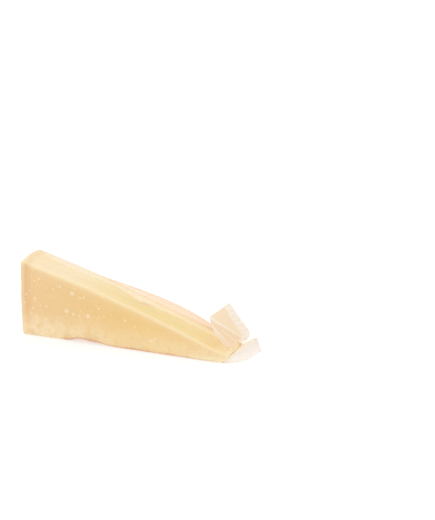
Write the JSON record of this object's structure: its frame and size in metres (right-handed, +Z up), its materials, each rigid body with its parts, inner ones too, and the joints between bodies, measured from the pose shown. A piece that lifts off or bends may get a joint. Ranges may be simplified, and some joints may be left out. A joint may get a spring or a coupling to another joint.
{
  "type": "parmesan wedge",
  "caption": "Long wedge of hard grating cheese with its rind, sealed in a clear bag whose end stands up as a tab at the tip.",
  "frame": {"origin": "middle of the box round the whole pack, on the surface that it lies on", "axes": "+X from the rind to the tip, +Y from the shown cut face to the hidden one, +Z up"},
  "size_m": [0.2282, 0.0468, 0.072],
  "materials": {
    "cheese": "moist fine-grained paste with pale crystals, smooth rind",
    "film": "clear glossy packing film"
  },
  "bodies": {
    "root": {"wedge_pack": "cheese"}
  },
  "joints": []
}
